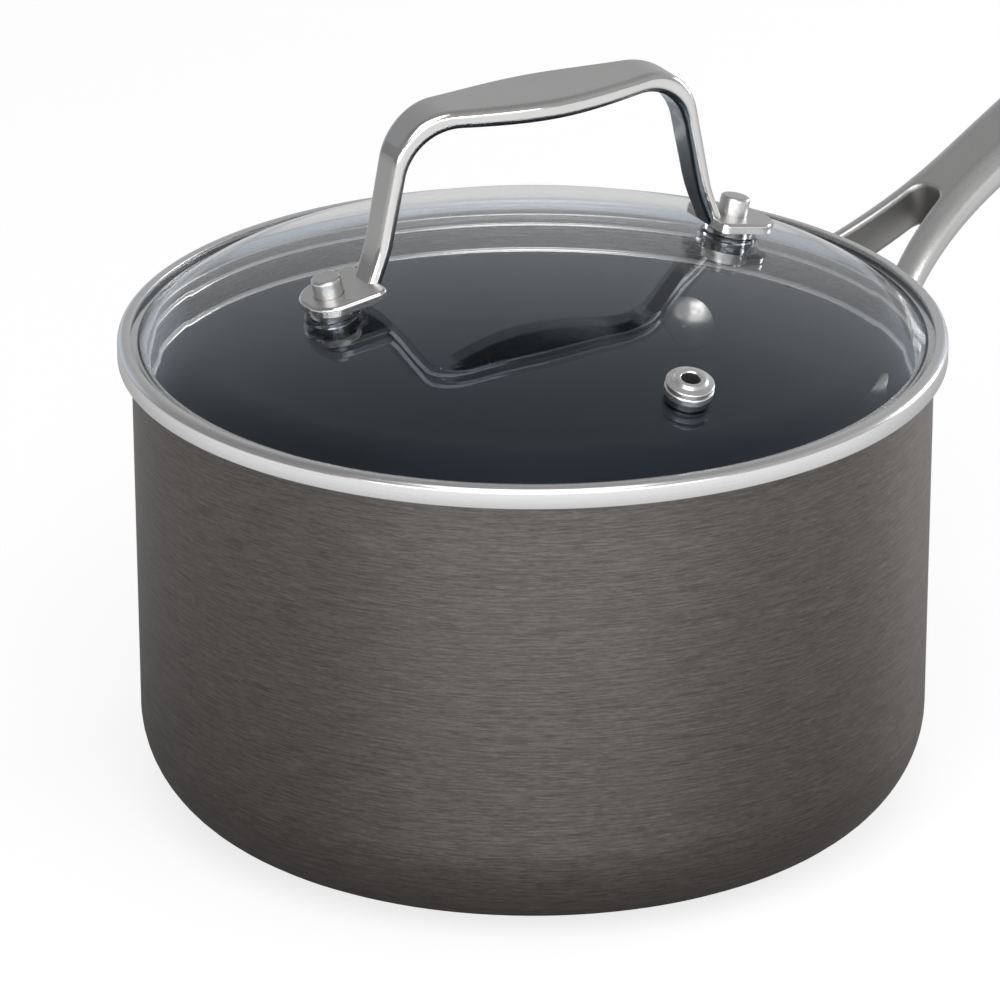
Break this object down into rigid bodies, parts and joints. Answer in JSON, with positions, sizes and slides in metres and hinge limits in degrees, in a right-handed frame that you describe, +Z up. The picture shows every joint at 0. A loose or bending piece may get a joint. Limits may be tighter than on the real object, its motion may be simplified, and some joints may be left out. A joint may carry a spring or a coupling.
{
  "type": "saucepan with glass lid",
  "caption": "Straight-sided saucepan with a long forked steel handle and a domed glass lid in a steel band, with a steam vent and a raised loop handle, for cooking on a hob.",
  "frame": {"origin": "centre of the pan's flat base, where it stands on the hob", "axes": "+Z up, along the axis of the pan and the lid; +X along the pan's handle, towards its free end"},
  "size_m": [0.3733, 0.1924, 0.1754],
  "materials": {
    "anodised": "hard-anodised, finely brushed round the wall, with a dark non-stick coating inside",
    "handle_steel": "satin with polished shoulders",
    "polished_steel": "polished",
    "glass": "clear tempered",
    "silicone": "satin moulded silicone"
  },
  "bodies": {
    "pan": {"pan_body": "anodised", "pan_handle": "handle_steel", "handle_rivet_left": "polished_steel", "handle_rivet_right": "polished_steel"},
    "lid": {"lid_glass": "glass", "lid_band": "polished_steel", "lid_handle": "handle_steel", "lid_pin_left": "polished_steel", "lid_pin_right": "polished_steel", "foot_gasket_left": "silicone", "foot_gasket_right": "silicone", "under_gasket_left": "silicone", "under_gasket_right": "silicone", "backing_washer_left": "polished_steel", "backing_washer_right": "polished_steel", "vent_eyelet": "polished_steel", "vent_washer": "polished_steel", "vent_back_ring": "polished_steel"}
  },
  "joints": [
    {"name": "lid_lift", "type": "slide", "parent": "pan", "child": "lid", "axis": [0, 0, 1], "range_m": [0, 0.15]}
  ]
}
